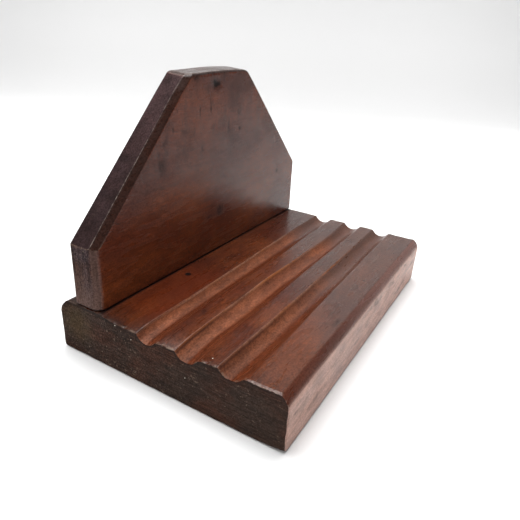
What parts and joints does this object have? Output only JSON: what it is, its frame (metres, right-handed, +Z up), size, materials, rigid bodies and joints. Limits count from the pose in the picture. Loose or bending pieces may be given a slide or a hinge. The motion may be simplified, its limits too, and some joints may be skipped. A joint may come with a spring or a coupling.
{
  "type": "fluted leather edge block",
  "caption": "Two-board wooden bench block: a thick base with long coves in its top and an upright board with both upper corners cut off.",
  "frame": {"origin": "centre of the underside of the base, on the bench top", "axes": "+X along the coves and the length of both boards, +Y from the front edge of the base to its back, +Z up"},
  "size_m": [0.221, 0.15, 0.1538],
  "materials": {
    "base_wood": "aged satin hardwood",
    "board_wood": "aged satin hardwood",
    "screw_steel": "dull bright steel"
  },
  "bodies": {
    "root": {"base_block": "base_wood", "upright_board": "board_wood", "fixing_screw_near": "screw_steel", "fixing_screw_middle": "screw_steel", "fixing_screw_far": "screw_steel"}
  },
  "joints": []
}
